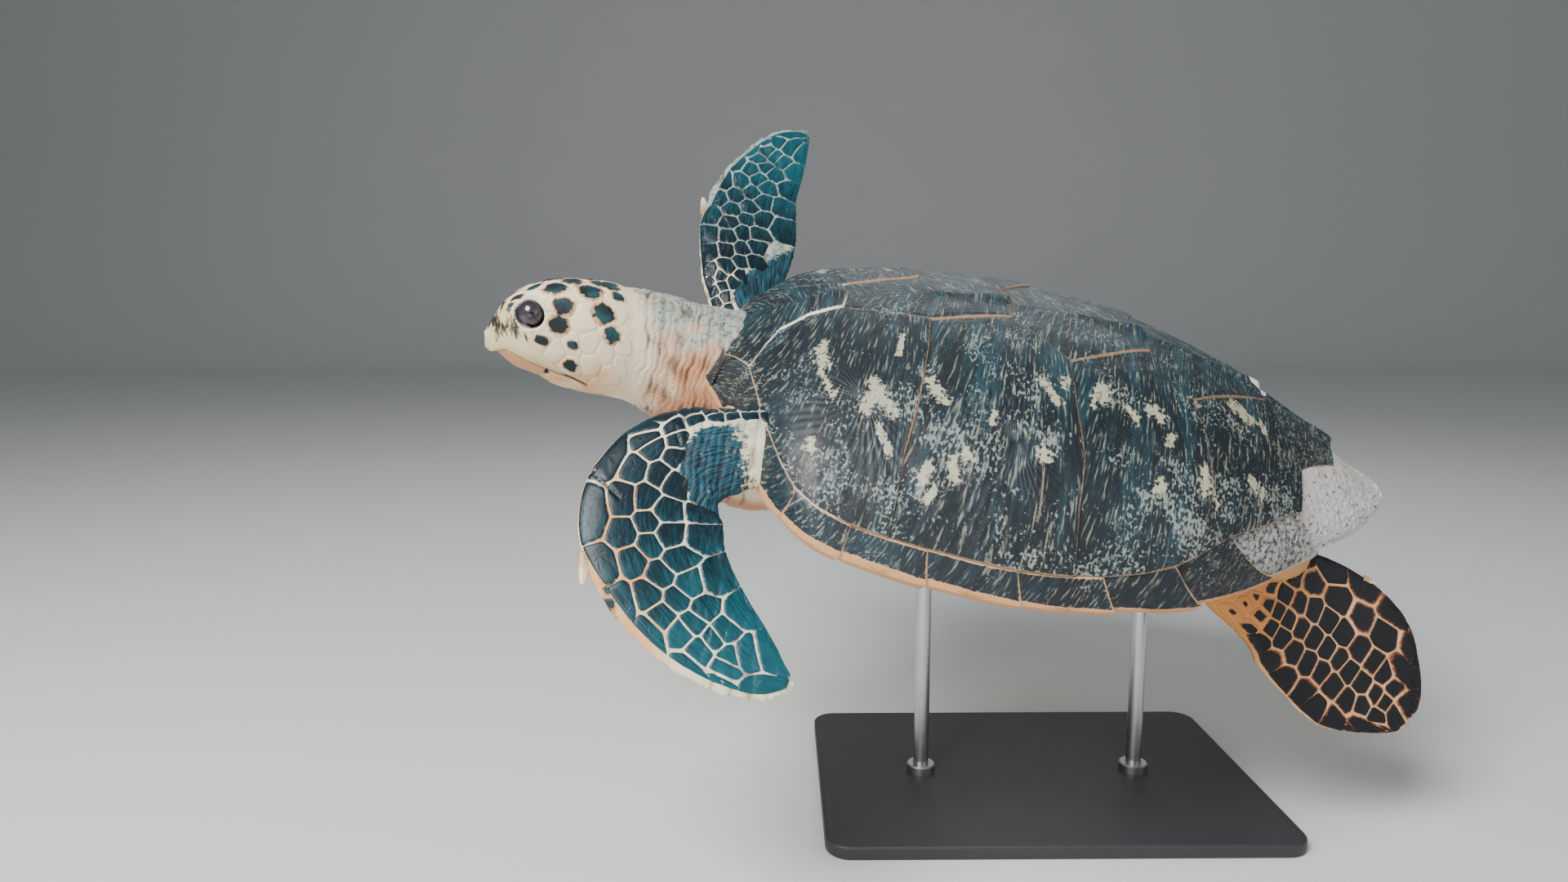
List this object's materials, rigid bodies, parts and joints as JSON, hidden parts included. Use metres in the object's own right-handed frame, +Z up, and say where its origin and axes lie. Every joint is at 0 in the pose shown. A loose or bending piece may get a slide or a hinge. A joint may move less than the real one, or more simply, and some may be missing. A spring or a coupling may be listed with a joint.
{
  "type": "hawksbill sea turtle museum model",
  "caption": "Life-size hawksbill sea turtle in a gliding swim, with an imbricated carapace, scaled paddle flippers and a hooked beak, held on a plain rod stand.",
  "frame": {"origin": "on the floor under the middle of the whole model's box", "axes": "+Z up; the turtle swims towards -X, with its left side towards -Y"},
  "size_m": [0.9164, 0.6522, 0.7351],
  "materials": {
    "carapace_scute": "keratin scutes, dark slate with cream blotches, fine striations and a thin pale algae film",
    "rim_scute": "keratin marginals, near-black above with a cream-orange lower rim",
    "worn_scute": "bleached, worn rear scutes, white-grey and pitted",
    "plastron": "pale yellow belly scutes with wide seams",
    "skin": "peach-cream wrinkled skin, teal-grey on top, under dark head scales",
    "flipper_skin": "dark teal polygonal scales with cream seams",
    "beak_horn": "amber horn with brown growth streaks",
    "eye": "wet dark eye",
    "claw_horn": "cream horn",
    "stand_base": "dark satin powder coat",
    "stand_rod": "brushed stainless steel rod"
  },
  "bodies": {
    "root": {"nuchal": "carapace_scute", "vertebral_1": "carapace_scute", "vertebral_2": "carapace_scute", "vertebral_3": "carapace_scute", "vertebral_4": "carapace_scute", "vertebral_5": "carapace_scute", "costal_left_1": "carapace_scute", "costal_left_2": "carapace_scute", "costal_left_3": "carapace_scute", "costal_left_4": "carapace_scute", "costal_right_1": "carapace_scute", "costal_right_2": "carapace_scute", "costal_right_3": "carapace_scute", "costal_right_4": "carapace_scute", "marginal_left_1": "rim_scute", "marginal_left_2": "rim_scute", "marginal_left_3": "rim_scute", "marginal_left_4": "rim_scute", "marginal_left_5": "rim_scute", "marginal_left_6": "rim_scute", "marginal_left_7": "rim_scute", "marginal_left_8": "rim_scute", "marginal_left_9": "rim_scute", "marginal_right_1": "rim_scute", "marginal_right_2": "rim_scute", "marginal_right_3": "rim_scute", "marginal_right_4": "rim_scute", "marginal_right_5": "rim_scute", "marginal_right_6": "rim_scute", "marginal_right_7": "rim_scute", "marginal_right_8": "rim_scute", "marginal_right_9": "rim_scute", "marginal_left_10": "worn_scute", "marginal_left_11": "worn_scute", "marginal_right_10": "worn_scute", "marginal_right_11": "worn_scute", "supracaudal_left": "worn_scute", "supracaudal_right": "worn_scute", "trunk": "skin", "neck": "skin", "head": "skin", "lower_jaw": "skin", "tail": "skin", "front_flipper_left": "flipper_skin", "front_flipper_right": "flipper_skin", "rear_flipper_left": "flipper_skin", "rear_flipper_right": "flipper_skin", "plastron": "plastron", "upper_beak": "beak_horn", "lower_beak": "beak_horn", "eye_left": "eye", "eye_right": "eye", "claw_front_left": "claw_horn", "claw_front_right": "claw_horn", "claw_rear_left": "claw_horn", "claw_rear_right": "claw_horn", "stand_base": "stand_base", "stand_rod_front": "stand_rod", "stand_rod_rear": "stand_rod"}
  },
  "joints": []
}
